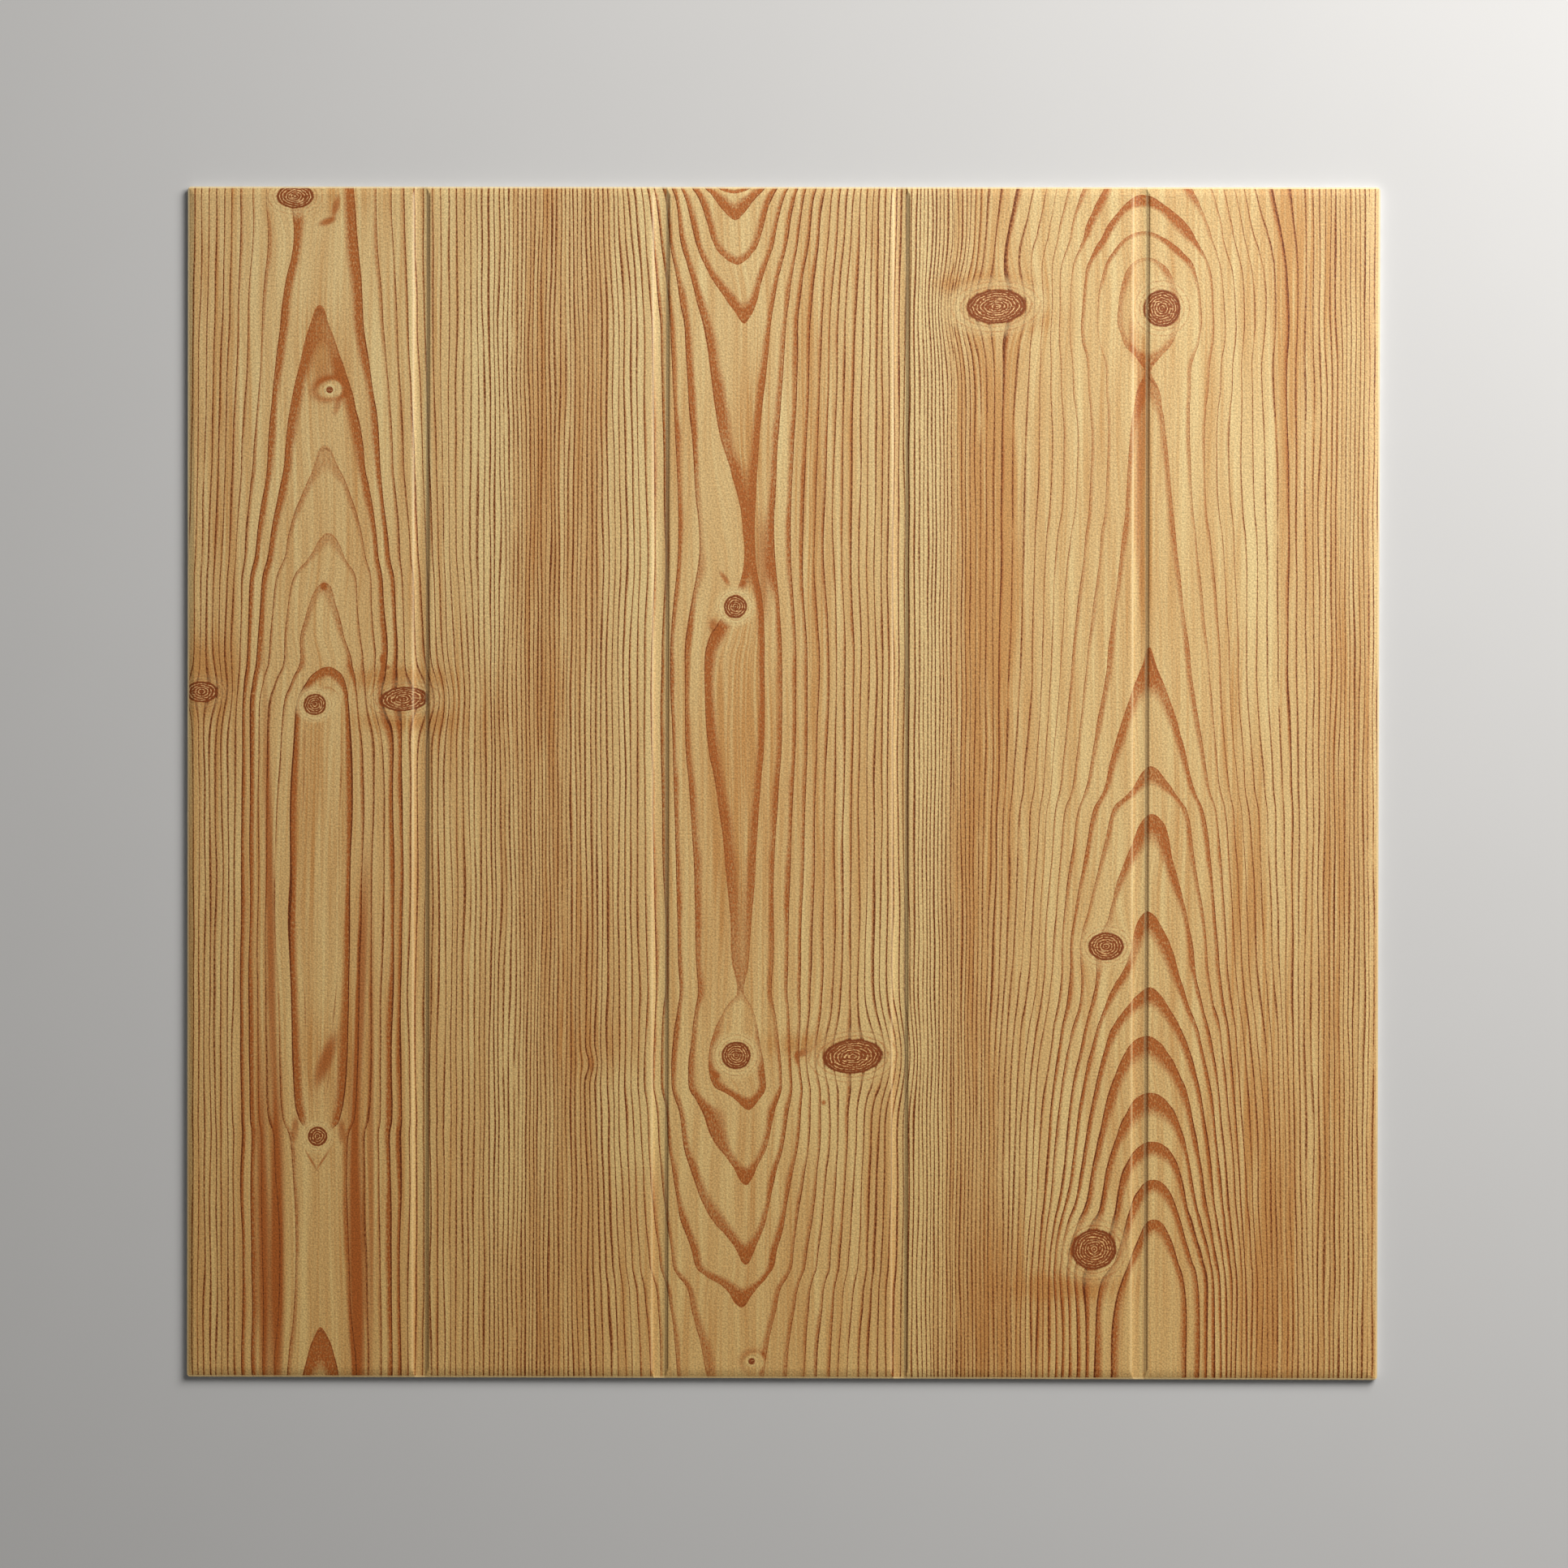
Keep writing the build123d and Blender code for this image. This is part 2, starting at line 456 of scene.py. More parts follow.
# Short dark strokes: across, down, half width, half height, tilt, how dark.
STROKES = (
    (-191.3, 235.3, 3.4, 1.4, 20, 0.9), (-187.9, 241.5, 1.4, 4.4, -15, 0.9),
    (-204.9, 245.9, 13.6, 8.2, 0, -0.6), (-191.7, -116.6, 2.7, 10.9, -20, 0.9),
    (8.6, -113.2, 3.1, 1.4, 20, 0.9), (6.2, -115.3, 1, 2.7, 0, 0.8), (-168.2, 51.8, 1, 1.7, 0, 0.8),
    (-166.2, 48.4, 1.4, 1, 0, 0.8), (17.5, -134, 0.9, 1, 0, 0.9), (-28.8, 65.5, 2, 3.4, 20, 0.8),
    (-24.4, 85.9, 1, 3.1, 35, 0.8), (-204.2, -146, 1.7, 4.8, 0, 0.9), (-185.2, -146.7, 1.7, 4.8, 0, 0.9),
    (-198.8, -156.9, 0.5, 5.8, 30, 0.9), (-191.7, -156.9, 0.5, 5.8, -33, 0.9),
    (-195.1, -148.7, 8.2, 7.5, 0, -1), (-190.6, 165.1, 6.8, 4.8, 12, 1.3), (-190, 165.1, 4.8, 3.2, 12, -2.6),
    (-12.1, -242.5, 5.1, 4.4, 10, 0.9), (-11.4, -243.2, 3.7, 3.2, 10, -2.2),
    (-27.4, -122.1, 1.7, 1.4, -30, 0.8), (150.4, 151.4, 2, 27.3, 0, 0.6), (149.4, 107.1, 1.7, 30.7, 2, 0.4),
    (-186.9, 158.3, 1.4, 4.1, -20, 0.6), (-80.5, -118, 1, 3.1, 10, 0.5), (146.3, 185.5, 1.4, 8.9, 4, 0.5),
    (-192.7, 82.5, 1.4, 2, 0, 0.6), (-215.1, -53.2, 1.7, 81.9, 1.2, 0.85),
    (-212.1, -196.5, 2.7, 64.8, 0, 1.1), (-217.8, -193, 2.4, 68.2, 1, 0.95),
    (-177, -90.7, 2, 54.6, -2.2, 0.85), (-178.7, -203.3, 2.9, 71.6, 1, 1.1),
    (-172.6, -148.7, 1.2, 92.1, 0, 0.6), (-191, 170.5, 5.8, 8.2, 0, 0.4), (-8.4, 90, 2.4, 20.5, 4, 0.6),
)

# One row of each table of marks, with its values named.
Mark = namedtuple("Mark", "across down wide high amount")
Stroke = namedtuple("Stroke", "across down wide high tilt amount")
Knot = namedtuple("Knot", "across down wide high tilt rings parting lift paleness")

# How many half widths from its middle a mark still shows, and how much further than a knot its bends reach.
MARK_REACH = 3.2
KNOT_REACH = 1.7

# Noises of the print: width and length of the blotches in millimetres, and a seed.
BROAD_WANDER = (16.0, 75.0, 3)
FINE_WANDER = (3.5, 50.0, 5)
RING_WAVES = (1.1, 70.0, 21)
RING_PATCHES = (1.3, 22.0, 14)
PRINT_DOTS = (0.6, 1.3, 17)
WARM_STRIPES = (5.0, 160.0, 31)
FINE_STREAKS = (1.2, 60.0, 33)
KNOT_LUMPS = (3.5, 3.5, 40)
KNOT_BUMPS = (0.9, 0.9, 41)
LOOP_PATCHES = (2.0, 2.0, 43)
GOLD_PATCHES = (1.2, 1.2, 44)
KNOT_CRACKS = (4.5, 0.5, 45)
GROWTH_WAVES = (2.4, 2.4, 46)
GRIT = (0.75, 0.75, 50)
COARSE_GRIT = (1.6, 1.6, 52)

# The rings. Spread and neck fade out from a figure's middle, and its arches turn into straight grain between
# two ring numbers. A ring's sharp edge has a width in millimetres. Past the last listed rings, each one's
# strength is left to chance. The list's curve has room for twenty.
SPREAD_FADE, NECK_FADE = 90.0, 6.0
ARCHES_END = (11.0, 28.0)
EDGE_WIDTH = 0.85
LAST_LISTED = (13.0, 14.0)
LIST_ROOM = 20.0

# Squared distances from a knot's middle, in its radii: one that stands for no knot at all, and the one
# where its surroundings end. The faint loops round a knot lie this many to a radius.
FAR_OFF = 81.0
ROUND_KNOT = 4.8
LOOPS_PER_RADIUS = 3.4

# Painted light by each groove: a painted highlight low on the wall that faces away from the light, a painted
# shade line at that wall's foot and a painted highlight on the wall that faces the light, each with its
# place across, sharpness, share and colour. Then, in millimetres: where a groove lies and half the way to
# the next, between which places off the middle the painted groove light stops across and along, and where
# the print ends at the tile's sides.
PAINTED_GROOVE_LIGHT = ((2.45, 2.2, 0.45, "painted_highlight_and_cut_edge"), (3.4, 2.9, 0.75, "painted_groove_shade"), (-3.2, 2.4, 0.45, "painted_highlight_and_cut_edge"))
GROOVE_CENTRE, HALF_PITCH = 49.3, 50.3
OUTER_BOARDS = (190.0, 191.0)
GROOVE_ENDS = (245.5, 248.0)
CUT_EDGE = (249.2, 249.4)


def distance_squared(where, mark):
    """How far a place lies from a mark's middle, squared. It is 1 on the mark's outline."""
    cx, cy, wide, high = mark[:4]
    tilt = math.radians(getattr(mark, "tilt", 0.0))
    if tilt:
        c, s = math.cos(tilt), math.sin(tilt)
        u = where.dot((c / wide, s / wide, -(cx * c + cy * s) / wide))
        v = where.dot((-s / high, c / high, (cx * s - cy * c) / high))
        return u.maths("MULTIPLY_ADD", u, u, v * v)
    moved = where.sheet.node(
        "ShaderNodeVectorMath",
        {"operation": "MULTIPLY_ADD"},
        {0: where, 1: (1.0 / wide, 1.0 / high, 0.0), 2: (-cx / wide, -cy / high, 0.0)},
    )
    return Point(where.sheet, moved.outputs[0]).dot(moved.outputs[0])


def summed(where, marks, crisp=False):
    """All the marks added up: each has its amount in the middle, half of it at its outline, 0 outside."""
    total = 0.0
    for mark in marks:
        square = distance_squared(where, mark)
        near = square.maths("POWER", 0.5, square * square if crisp else square)
        total = near.maths("MULTIPLY_ADD", near, mark.amount, total)
    return total


def reaching(kind, rows, part):
    """The marks of one table that reach one part of the print."""
    left, right = ((-SIDE,) + MEETINGS + (SIDE,))[part : part + 2]
    marks = [kind(*row) for row in rows]
    marks = [mark for mark in marks if mark.across + MARK_REACH * mark.wide > left]
    return [mark for mark in marks if mark.across - MARK_REACH * mark.wide < right]


def ring_count_points():
    """Rings counted from the left side, at each place of the pitch list."""
    count, points = 0.0, [(RING_PITCH[0][0], 0.0)]
    for (left, wide), (right, next_wide) in zip(RING_PITCH, RING_PITCH[1:]):
        count += (right - left) * 0.5 * (1.0 / wide + 1.0 / next_wide)
        points.append((right, count))
    return points


def parted_by_knots(x, here, knots):
    """How far the straight grain moves aside for the knots."""
    shift = 0.0
    for knot in knots:
        if knot.parting:
            tall = Mark(knot.across, knot.down, knot.wide, knot.high * KNOT_REACH, knot.parting)
            square = distance_squared(here, tall)
            near = square.maths("POWER", 0.6, square)
            aside = (x - knot.across) * near
            shift = near.maths("MULTIPLY_ADD", aside, -0.85 * knot.parting, shift)
    return shift


def grain_flow(x, y, here, figure, part):
    """The place across the boards, moved aside as the grain wanders and bends."""
    flow = x + parted_by_knots(x, here, reaching(Knot, KNOTS, part))
    flow = flow + noise(here, *BROAD_WANDER) * 2.2 + noise(here, *FINE_WANDER)
    bends = reaching(Mark, BENDS, part)
    flow = flow + summed(here, [bend._replace(amount=-bend.amount) for bend in bends])
    middle = figure["middle"]
    axis = curve(y, figure["axis"])
    off = flow - middle
    return flow - (axis - middle) * exp(off * off * (-1.0 / figure["fade"]))


def ring_number(flow, y, here, figure, part):
    """The number of the ring at a place, and its flank: 0 in an arch's tip, near 1 in straight grain."""
    counts = ring_count_points()
    aside = size_of(curve(flow, counts) - dict(counts)[figure["middle"]])
    square = aside * aside
    for name, fade in (("spread", SPREAD_FADE), ("neck", NECK_FADE)):
        if figure[name] != 1:
            drawn = curve(y, figure[name])
            aside = aside * (1.0 + (drawn - 1.0) * exp(square * (-1.0 / fade)))
    depth = curve(y, figure["depth"])
    point = figure["point"]
    if isinstance(point, tuple):
        point = curve(y, point)
    arched = power(power(aside, point) + power(depth, point), 1.0 / point)
    flank = aside / arched
    number = aside + (arched - aside) * (1.0 - ramp(aside, *ARCHES_END))
    lifting = [knot for knot in reaching(Knot, KNOTS, part) if knot.lift]
    number = number + summed(
        here, [Mark(k.across, k.down, k.wide * KNOT_REACH, k.high * KNOT_REACH, k.lift) for k in lifting]
    )
    number = number + noise(here.sheet.point(number, y), *RING_WAVES) * 0.5 * (flank * flank)
    return number, flank


def ring_marks(number, flank, flow, y, here, part):
    """How strongly the rings show: their soft dark side and their sharp edge."""
    ring = floor(number)
    through = number - ring
    strengths = list(enumerate(RING_STRENGTH[part]))
    listed = curve(least(ring, LIST_ROOM), strengths, 0.0, LIST_ROOM)
    inner = 1.0 - linear(ring, *LAST_LISTED)
    chance = white(ring + part * 100.0, seed=9)
    strength = listed * inner + (0.2 + 0.5 * power(chance, 1.6)) * (1.0 - inner)
    strength = strength + noise(here.sheet.point(number, y), *RING_PATCHES) * 0.5
    strength = strength + summed(here, reaching(Mark, HEAVY_STRETCHES, part))
    dots = 1.0 + noise(here, *PRINT_DOTS) * 1.5
    reach = (0.12 + 0.5 * strength) * (0.55 + 0.45 * flank)
    dark = linear(through, 1.0 - reach, 1.0 - reach * 0.5) * least(strength + 0.1, 1.0) * dots
    dark = dark + summed(here, reaching(Stroke, STROKES, part), crisp=True)
    width = least(EDGE_WIDTH / curve(flow, RING_PITCH), 0.5) * flank * flank + 0.03 * (1.0 - flank)
    weight = least(strength * 4.0, 0.62 + 0.38 * strength)
    edge = linear(through, 1.0 - width, 1.0 - width * 0.5) * (1.0 - linear(through, 0.97, 1.0))
    return dark, edge * 1.1 * weight * dots


def wood_colour(dark, edge, flow, y, here, colours, part):
    """Early wood with its warm stripes and stains, and the rings over it."""
    sheet = here.sheet
    grain = sheet.point(flow, y)
    stains = summed(here, reaching(Mark, BANDS, part))
    streaks = noise(grain, *FINE_STREAKS)
    warmth = 0.38 + noise(grain, *WARM_STRIPES) + streaks * 0.9 + stains * (1.0 + 1.8 * streaks)
    wood = sheet.blend(linear(warmth, 0.0, 1.0), colours.pale_wood, colours.warm_wood)
    colour = sheet.blend(dark, wood, colours.late_wood)
    colour = sheet.blend(edge * 0.8, colour, colours.late_wood)
    return sheet.blend(edge * edge * 0.95, colour, colours.ring_line)


def with_knots(colour, here, colours, part):
    """The knots with their rings and cracks, and round each one pale wood and loops that fade out."""
    sheet = here.sheet
    heart, rings, paleness = FAR_OFF, 0.0, 0.0
    for knot in reaching(Knot, KNOTS, part):
        square = distance_squared(here, knot)
        near = square.maths("LESS_THAN", square, ROUND_KNOT)
        rings = near.maths("MULTIPLY_ADD", near, knot.rings, rings)
        paleness = near.maths("MULTIPLY_ADD", near, knot.paleness, paleness)
        heart = least(square, heart)
    heart = root(heart) + noise(here, *KNOT_LUMPS) * 0.08 + noise(here, *KNOT_BUMPS) * 0.06
    halo = ramp(heart, 1.0, 1.12) * (1.0 - ramp(heart, 1.3, 2.0)) * paleness
    colour = sheet.blend(halo, colour, colours.pale_wood)
    loops = cosine(heart * (2 * math.pi * LOOPS_PER_RADIUS)) * 0.5 + 0.5
    loops = power(loops, 6.0) * (1.0 - ramp(heart, 1.35, 1.9)) * linear(heart, 1.0, 1.1)
    loops = loops * (0.4 + noise(here, *LOOP_PATCHES) * 1.2)
    colour = sheet.blend(loops, colour, colours.late_wood)
    inside = 1.0 - ramp(heart, 0.96, 1.04)
    growth = cosine(heart * rings * (2 * math.pi) + noise(here, *GROWTH_WAVES) * 4.0) * 0.5 + 0.5
    gold = power(growth, 6.0) * (1.0 - ramp(heart, 0.8, 0.92)) * (0.8 + noise(here, *GOLD_PATCHES) * 4.0)
    gold = gold + linear(noise(here, *KNOT_CRACKS), 0.17, 0.25) * (1.0 - ramp(heart, 0.5, 0.9)) * 0.6
    knot_colour = sheet.blend(ramp(heart, 0.75, 1.0) * 0.35, colours.knot_wood, colours.knot_edge)
    knot_colour = sheet.blend(gold, knot_colour, colours.knot_gold)
    return sheet.blend(inside, colour, knot_colour)


def with_painted_groove_light_and_cut_edge(colour, x, y, colours):
    """Painted highlights and painted shade on the grooves' walls, and the print's pale cut edge round the
    tile.
    """
    sheet = x.sheet
    from_groove = x.maths("WRAP", x - GROOVE_CENTRE, HALF_PITCH, -HALF_PITCH)
    wide, long = size_of(x), size_of(y)
    grooved = (1.0 - linear(wide, *OUTER_BOARDS)) * (1.0 - ramp(long, *GROOVE_ENDS))
    # Painted highlights and a painted shade line along each groove's walls.
    for place, sharpness, share, name in PAINTED_GROOVE_LIGHT:
        off = (from_groove - place) * sharpness
        colour = sheet.blend(exp(off * off * -1.0) * grooved * share, colour, getattr(colours, name))
    return sheet.blend(linear(greatest(wide, long), *CUT_EDGE) * 0.75, colour, colours.painted_highlight_and_cut_edge)


def printed_film(colours, part):
    """The pine print on its satin film, round one of the figures, with painted highlights and shade on the
    groove walls and painted shade towards the bottom left.
    """
    figure = FIGURES[part]
    sheet = Sheet("printed_pine_" + ("left", "middle", "right")[part])
    x, y = sheet.place()
    here = sheet.point(x, y)
    flow = grain_flow(x, y, here, figure, part)
    number, flank = ring_number(flow, y, here, figure, part)
    dark, edge = ring_marks(number, flank, flow, y, here, part)
    colour = wood_colour(dark, edge, flow, y, here, colours, part)
    colour = with_knots(colour, here, colours, part)
    grit = noise(here, *GRIT)
    colour = sheet.shade(colour, 1.0 + grit * 0.85 + noise(here, *COARSE_GRIT) * 0.15)
    colour = with_painted_groove_light_and_cut_edge(colour, x, y, colours)
    # Painted shade: a warm darkening of the print that deepens towards the bottom and a little towards the
    # left, away from the light.
    painted_falloff = x.maths("MULTIPLY_ADD", x, -0.0005, 0.4) + y * -0.0022
    colour = sheet.tint(painted_falloff, colour, colours.painted_falloff_tint)
    return sheet.surface(
        {
            "Base Color": colour,
            "Roughness": 0.42 + 0.15 * grit,
            "Specular IOR Level": 0.25,
            "Normal": sheet.bumps(0.45, 0.2 * MM, grit + 0.5),
        }
    )


def bare_foam(colours):
    """White foam with fine pressed cells."""
    sheet = Sheet("bare_foam")
    where = sheet.node("ShaderNodeTexCoord").outputs["Object"]
    cells = sheet.node("ShaderNodeTexVoronoi", {"feature": "F1"}, {"Vector": where, "Scale": 420.0})
    depth = Value(sheet, cells.outputs["Distance"])
    colour = sheet.blend(1.0 - ramp(depth, 0.35, 0.9), colours.foam_shadow, colours.foam)
    normal = sheet.bumps(0.4, 0.3 * MM, 1.0 - depth)
    return sheet.surface({"Base Color": colour, "Roughness": 0.75 + 0.1 * depth, "Normal": normal})


# --- the tile's mesh

GROOVES = 4

# Each rim: its width and bulge, and how far the fine mesh over it reaches and its step, in millimetres.
RIMS = {
    "left": (2.9, 0.06, 3.1, 0.2),
    "right": (5.2, 0.06, 5.4, 0.25),
    "far": (3.4, 0.06, 3.6, 0.25),
    "near": (4.4, 0.22, 4.6, 0.25),
}

# The mesh's lines elsewhere, in millimetres: by a groove's walls they lie close together.
WALL_START, WALL_END, WALL_STEP = 2.1, 4.6, 0.17
MEETING_STEP = 3.0
STEP_ACROSS, STEP_ALONG = 3.2, 4.5


def groove_depth_at(offset, sizes):
    """How deep the face lies at a distance from a groove's centre line."""
    steep = math.radians(sizes.wall_slope)
    gentle = math.radians(sizes.shoulder_slope)
    half_floor = sizes.floor_width / 2 / MM
    depth = sizes.groove_depth / MM
    radius = sizes.shoulder_radius / MM
    shoulder_drop = radius * (math.cos(gentle) - math.cos(steep))
    wall = (depth - shoulder_drop) / math.tan(steep)
    arc = radius * (math.sin(steep) - math.sin(gentle))
    d = abs(offset)
    if d <= half_floor:
        return depth
    if d <= half_floor + wall:
        return depth - (d - half_floor) * math.tan(steep)
    if d <= half_floor + wall + arc:
        run = half_floor + wall + arc - d
        angle = math.asin(math.sin(gentle) + run / radius)
        return radius * (math.cos(gentle) - math.cos(angle))
    return 0.0


def rim_depth_at(inset, width, drop, bulge):
    """How deep the rim lies at a distance in from the tile's side."""
    if inset >= width:
        return 0.0
    chord = math.hypot(width, drop)
    radius = chord * chord / (8 * bulge) + bulge / 2
    lean = math.atan2(drop, width)
    half = math.asin(chord / (2 * radius))
    inner = lean - half
    run = width - inset
    angle = math.asin(math.sin(inner) + run / radius)
    return radius * (math.cos(inner) - math.cos(angle))


def face_depth_at(x, y, centres, sizes):
    """How deep the pressed face lies below its top at a place."""
    half = SIDE / 2
    deep = max(groove_depth_at(x - c, sizes) for c in centres)
    for side, inset in (("left", x + half), ("right", half - x), ("far", half - y), ("near", y + half)):
        width, bulge = RIMS[side][:2]
        deep = max(deep, rim_depth_at(inset, width, sizes.rim_drop / MM, bulge))
    return deep


def rounded(x, y, radius):
    """The place moved in where it would stand outside a round corner."""
    straight = SIDE / 2 - radius
    u, v = abs(x) - straight, abs(y) - straight
    if u <= 0 or v <= 0:
        return x, y
    shrink = max(u, v) / math.hypot(u, v)
    return math.copysign(straight + u * shrink, x), math.copysign(straight + v * shrink, y)


def spaced(low, high, step):
    """Even places from low to high, about a step apart."""
    count = max(1, round((high - low) / step))
    return [low + (high - low) * i / count for i in range(count + 1)]


def grid_lines(edge_low, edge_high, special, step):
    """Places of the mesh's lines: close together over special stretches, a step apart elsewhere."""
    lines = set()
    here = edge_low
    for low, high, fine in sorted(special):
        lines.update(round(v, 5) for v in spaced(here, low, step) if here < low)
        lines.update(round(v, 5) for v in spaced(low, high, fine))
        here = high
    lines.update(round(v, 5) for v in spaced(here, edge_high, step) if here < edge_high)
    ordered = sorted(lines)
    kept = [ordered[0]]
    for v in ordered[1:]:
        if v - kept[-1] > 1e-4:
            kept.append(v)
    return kept


def rim_stretches(low_side, high_side):
    """The fine stretches of mesh over two opposite rims."""
    half = SIDE / 2
    low_reach, low_step = RIMS[low_side][2:]
    high_reach, high_step = RIMS[high_side][2:]
    return [(-half, -half + low_reach, low_step), (half - high_reach, half, high_step)]


def mesh_lines(centres):
    """The places of the mesh's lines across the tile and along it."""
    special = rim_stretches("left", "right")
    special += [(c - WALL_END, c - WALL_START, WALL_STEP) for c in centres]
    special += [(c + WALL_START, c + WALL_END, WALL_STEP) for c in centres]
    special += [(c, c + MEETING_STEP, MEETING_STEP) for c in MEETINGS]
    across = grid_lines(-SIDE / 2, SIDE / 2, special, STEP_ACROSS)
    along = grid_lines(-SIDE / 2, SIDE / 2, rim_stretches("near", "far"), STEP_ALONG)
    return across, along


def pressed_mesh(sizes, back, top):
    """The pressed face, the flat back and the sides. Each part of the print has its own material index."""
    middle = (GROOVES - 1) / 2
    centres = [(sizes.groove_shift + sizes.groove_pitch * (i - middle)) / MM for i in range(GROOVES)]
    xs, ys = mesh_lines(centres)
    foam_index = len(FIGURES)
    bm = bmesh.new()
    face_rows, back_rows = [], []
    for y in ys:
        face_row, back_row = [], []
        for x in xs:
            px, py = rounded(x, y, sizes.corner_radius / MM)
            pz = top / MM - face_depth_at(px, py, centres, sizes)
            face_row.append(bm.verts.new((px * MM, py * MM, pz * MM)))
            back_row.append(bm.verts.new((px * MM, py * MM, back)))
        face_rows.append(face_row)
        back_rows.append(back_row)
    columns, rows = len(xs), len(ys)
    for j in range(rows - 1):
        for i in range(columns - 1):
            a, b = face_rows[j], face_rows[j + 1]
            part = sum(xs[i] + 0.01 > change for change in MEETINGS)
            bm.faces.new((a[i], a[i + 1], b[i + 1], b[i])).material_index = part
            a, b = back_rows[j], back_rows[j + 1]
            bm.faces.new((a[i], b[i], b[i + 1], a[i + 1])).material_index = foam_index
    loop = [(i, 0) for i in range(columns)] + [(columns - 1, j) for j in range(1, rows)]
    loop += [(i, rows - 1) for i in range(columns - 2, -1, -1)] + [(0, j) for j in range(rows - 2, 0, -1)]
    for (i, j), (m, n) in zip(loop, loop[1:] + loop[:1]):
        side = bm.faces.new((back_rows[j][i], back_rows[n][m], face_rows[n][m], face_rows[j][i]))
        side.material_index = foam_index
    mesh = bpy.data.meshes.new("ceiling_tile_pressed")
    bm.normal_update()
    bm.to_mesh(mesh)
    bm.free()
    return mesh


# --- the add-on


def length_setting(name, description, millimetres):
    """A length in the panel, with its default in millimetres."""
    return FloatProperty(name=name, description=description, default=millimetres * MM, unit="LENGTH")


def linear_colour(red, green, blue):
    """A screen colour from 0 to 255 as the linear light that a shader takes."""
    shades = (red / 255, green / 255, blue / 255)
    return tuple(s / 12.92 if s <= 0.04045 else ((s + 0.055) / 1.055) ** 2.4 for s in shades)


def colour_setting(name, description, *screen_colour):
    """A colour in the panel, with its default as a screen colour."""
    return FloatVectorProperty(
        name=name, description=description, subtype="COLOR", size=3, default=linear_colour(*screen_colour)
    )


class TileSizes(PropertyGroup):
    groove_depth: length_setting("Groove depth", "Depth of the grooves between boards", 1.1)
    floor_width: length_setting("Groove floor", "Width of each groove's flat floor", 4.4)
    wall_slope: FloatProperty(
        name="Wall slope", description="Slope of the groove walls in degrees", default=47.0
    )
    shoulder_slope: FloatProperty(
        name="Shoulder slope",
        description="Slope at which the shoulder leaves the face, in degrees",
        default=7.0,
    )
    shoulder_radius: length_setting("Shoulder radius", "Radius of the groove shoulders", 3.0)
    groove_pitch: length_setting("Groove pitch", "Distance between grooves", 100.6)
    groove_shift: length_setting("Groove shift", "How far the grooves stand off centre", -1.0)
    rim_drop: length_setting("Rim drop", "How far the rim comes down", 1.15)
    corner_radius: length_setting("Corner radius", "Radius of the corners seen from above", 1.5)


class TileColours(PropertyGroup):
    pale_wood: colour_setting("Pale wood", "Early wood", 218, 191, 134)
    warm_wood: colour_setting("Warm wood", "Early wood in warm bands", 193, 143, 84)
    late_wood: colour_setting("Late wood", "Dark side of each ring", 167, 94, 40)
    ring_line: colour_setting("Ring line", "Sharp edge of each ring", 102, 48, 12)
    knot_wood: colour_setting("Knot wood", "Wood of the knots", 136, 68, 26)
    knot_edge: colour_setting("Knot edge", "Wood near the edge of the knots", 110, 52, 18)
    knot_gold: colour_setting("Knot rings", "Bright rings of the knots", 240, 198, 138)
    # Painted shade: the dark line at the foot of the groove wall that faces away from the light.
    painted_groove_shade: colour_setting("Shading", "Print in the foot of each groove", 88, 42, 12)
    # Painted highlights on the groove walls; the same pale colour draws the print's cut edge round the tile.
    painted_highlight_and_cut_edge: colour_setting("Lip", "Print stretched thin over an edge", 240, 218, 170)
    # Painted shade: the warm filter that darkens the print towards the bottom left, away from the light.
    painted_falloff_tint: colour_setting("Falloff tint", "Filter that the print darkens through", 248, 236, 214)
    foam: colour_setting("Foam", "Bare foam", 238, 237, 232)
    foam_shadow: colour_setting("Foam cells", "Foam between its cells", 216, 214, 208)


class StageSettings(PropertyGroup):
    floor_colour: colour_setting("Floor", "Floor colour", 198, 196, 193)
    key_power: FloatProperty(name="Key light", description="Power of the main light in watts", default=28.0)
    fill_power: FloatProperty(name="Fill light", description="Power of the light from above", default=1.7)


class TILE_OT_press_tile(Operator):
    """Makes the pressed tile in place of its plain solid."""

    bl_idname = "tile.press_tile"
    bl_label = "Press Tile"

    def execute(self, context):
        low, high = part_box("ceiling_tile")
        mesh = pressed_mesh(context.scene.tile_sizes, low[2], high[2])
        colours = context.scene.tile_colours
        for part in range(len(FIGURES)):
            mesh.materials.append(printed_film(colours, part))
        mesh.materials.append(bare_foam(colours))
        tile = bpy.data.objects.new("ceiling_tile_pressed", mesh)
        context.scene.collection.objects.link(tile)
        mesh.shade_smooth()
        mesh.set_sharp_from_angle(angle=math.radians(30))
        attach(tile, "root")
        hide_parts("ceiling_tile")
        return {"FINISHED"}


# The floor's half side, and how far it lies below the tile, in metres. Its clouds are noise as in the print.
FLOOR_REACH = 6.0
FLOOR_GAP = 0.0001
FLOOR_CLOUDS = (60.0, 60.0, 2, 3.0)


def laid_floor(floor_colour):
    """A wide plain floor with faint clouds in its paint."""
    sheet = Sheet("pale_floor")
    cloud = noise(sheet.point(*sheet.place()), *FLOOR_CLOUDS)
    colour = sheet.shade(floor_colour, 1.0 + 0.02 * cloud)
    paint = sheet.surface({"Base Color": colour, "Roughness": 0.8})
    mesh = bpy.data.meshes.new("floor")
    corners = [(-1, -1), (1, -1), (1, 1), (-1, 1)]
    mesh.from_pydata([(x * FLOOR_REACH, y * FLOOR_REACH, 0) for x, y in corners], [], [(0, 1, 2, 3)])
    mesh.materials.append(paint)
    ground = bpy.data.objects.new("floor", mesh)
    ground.location.z = -FLOOR_GAP
    return ground


def square_light(name, place, width, watts):
    """A square light that points at the tile's middle."""
    light = bpy.data.lights.new(name, "AREA")
    light.shape = "SQUARE"
    light.size = width
    light.energy = watts
    lamp = bpy.data.objects.new(name, light)
    lamp.location = place
    lamp.rotation_euler = Vector(place).to_track_quat("Z", "Y").to_euler()
    return lamp


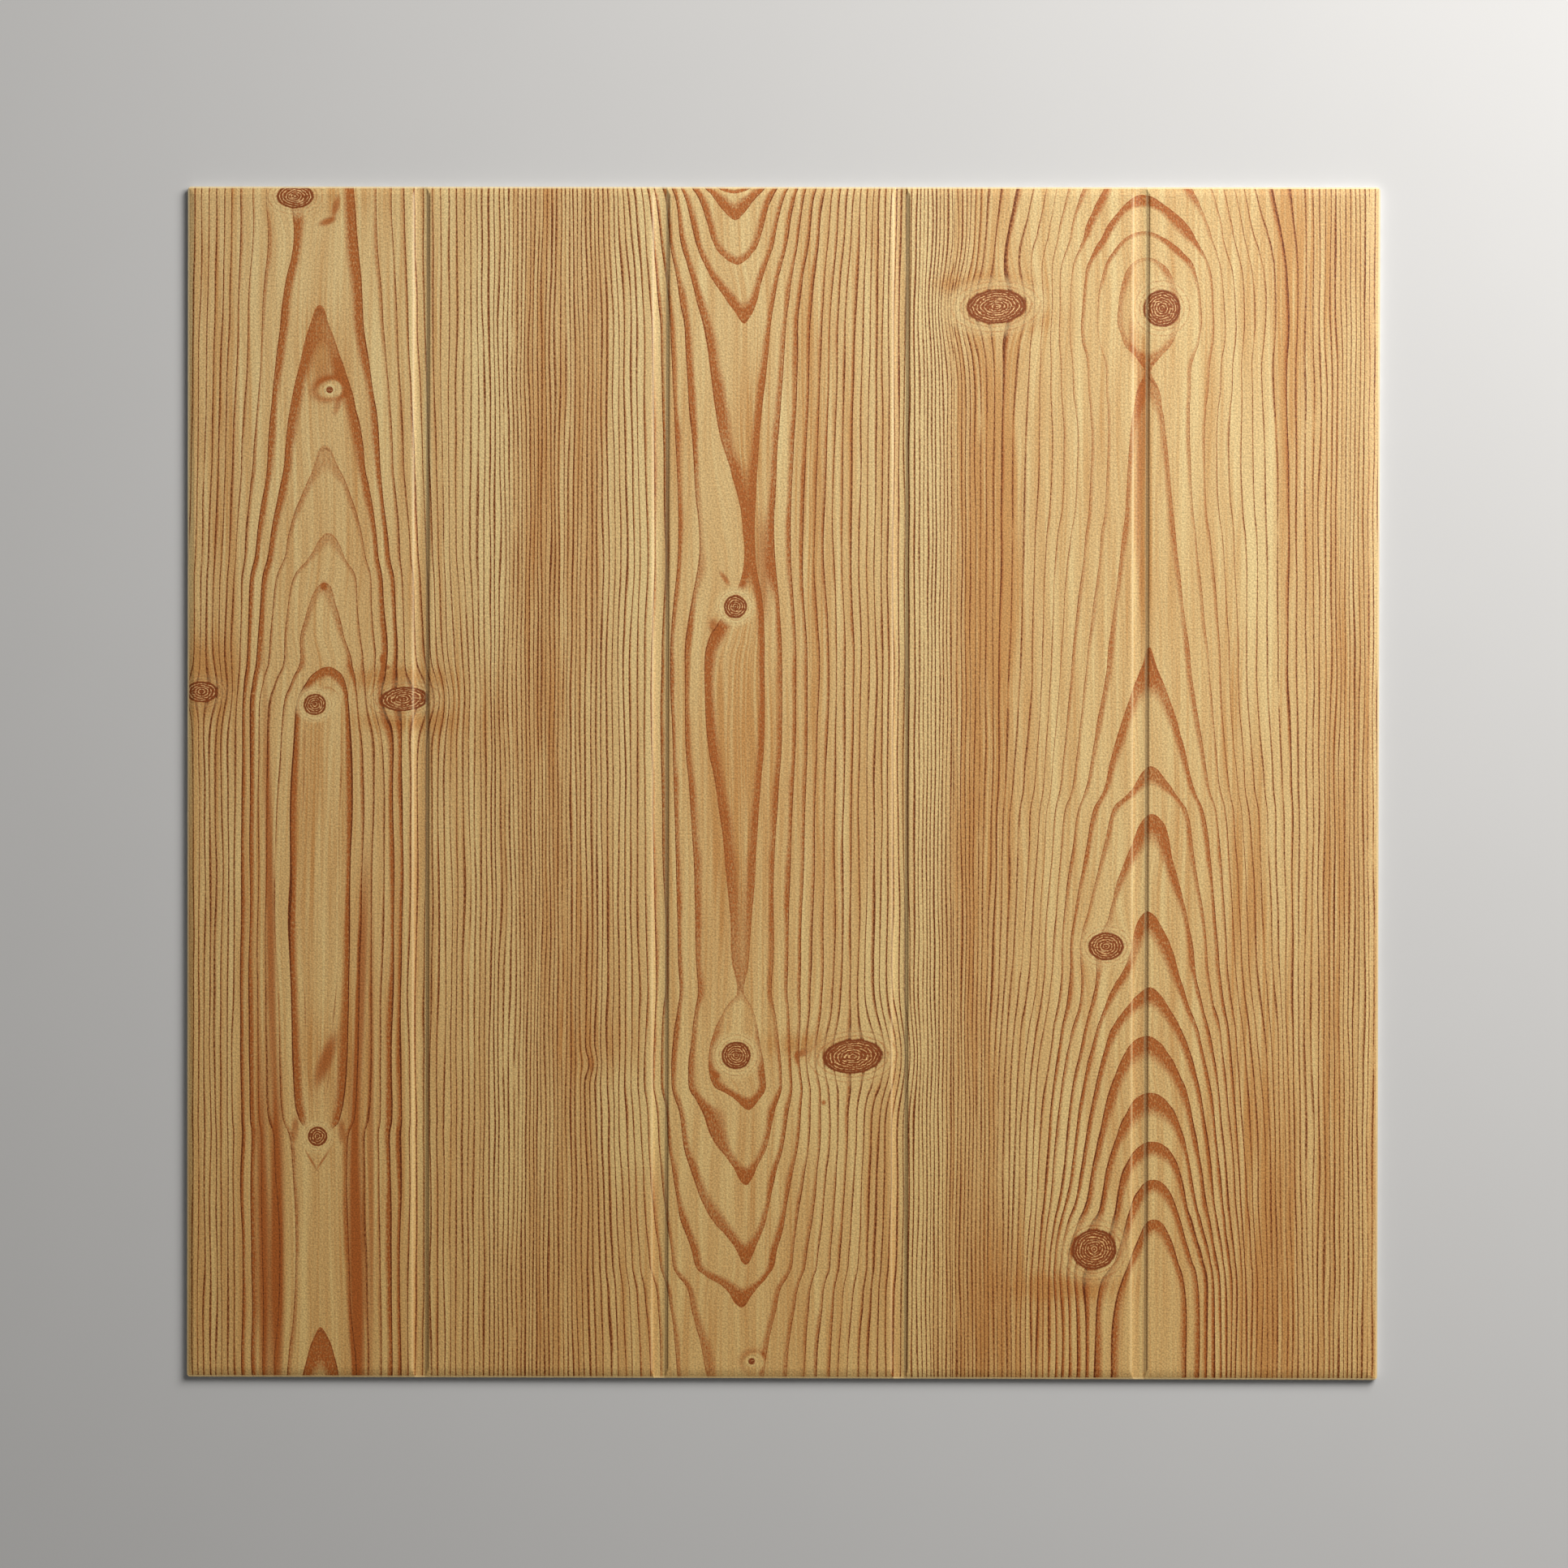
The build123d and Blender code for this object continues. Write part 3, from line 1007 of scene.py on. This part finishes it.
class TILE_OT_set_stage(Operator):
    """Lays the floor, hangs the lights and sets up the camera."""

    bl_idname = "tile.set_stage"
    bl_label = "Set Stage"

    def execute(self, context):
        scene = context.scene
        settings = scene.stage_settings
        ground = laid_floor(settings.floor_colour)
        scene.collection.objects.link(ground)
        for lamp in (
            square_light("key_light", (0.77, 0.76, 0.95), 0.95, settings.key_power),
            square_light("fill_light", (-0.3, -0.2, 2.6), 2.0, settings.fill_power),
        ):
            scene.collection.objects.link(lamp)
        world = bpy.data.worlds.new("studio")
        world.use_nodes = True
        glow = world.node_tree.nodes["Background"].inputs
        glow["Color"].default_value = (1, 1, 1, 1)
        glow["Strength"].default_value = 0.1
        scene.world = world
        scene.view_settings.view_transform = "Standard"

        lens = bpy.data.cameras.new("camera")
        lens.lens = 109.5
        lens.sensor_width = 36.0
        camera = bpy.data.objects.new("camera", lens)
        camera.location = (0.0162, 0.0151, 2.0046)
        camera.rotation_euler = tuple(math.radians(a) for a in (-0.441, 0.447, 0.101))
        scene.collection.objects.link(camera)
        scene.camera = camera
        return {"FINISHED"}


class TILE_PT_panel(Panel):
    """Sizes, colours and steps of the ceiling tile."""

    bl_label = "Ceiling Tile"
    bl_idname = "TILE_PT_panel"
    bl_space_type = "VIEW_3D"
    bl_region_type = "UI"
    bl_category = "Ceiling Tile"

    def draw(self, context):
        for group in ("tile_sizes", "tile_colours", "stage_settings"):
            settings = getattr(context.scene, group)
            for name in settings.bl_rna.properties.keys():
                if name not in ("rna_type", "name"):
                    self.layout.prop(settings, name)
        self.layout.operator(TILE_OT_press_tile.bl_idname)
        self.layout.operator(TILE_OT_set_stage.bl_idname)


CLASSES = (TileSizes, TileColours, StageSettings, TILE_OT_press_tile, TILE_OT_set_stage, TILE_PT_panel)


def register():
    for each in CLASSES:
        bpy.utils.register_class(each)
    bpy.types.Scene.tile_sizes = PointerProperty(type=TileSizes)
    bpy.types.Scene.tile_colours = PointerProperty(type=TileColours)
    bpy.types.Scene.stage_settings = PointerProperty(type=StageSettings)


def unregister():
    del bpy.types.Scene.stage_settings
    del bpy.types.Scene.tile_colours
    del bpy.types.Scene.tile_sizes
    for each in reversed(CLASSES):
        bpy.utils.unregister_class(each)


def main():
    register()
    bpy.ops.tile.press_tile()
    bpy.ops.tile.set_stage()


if __name__ == "__main__":
    main()
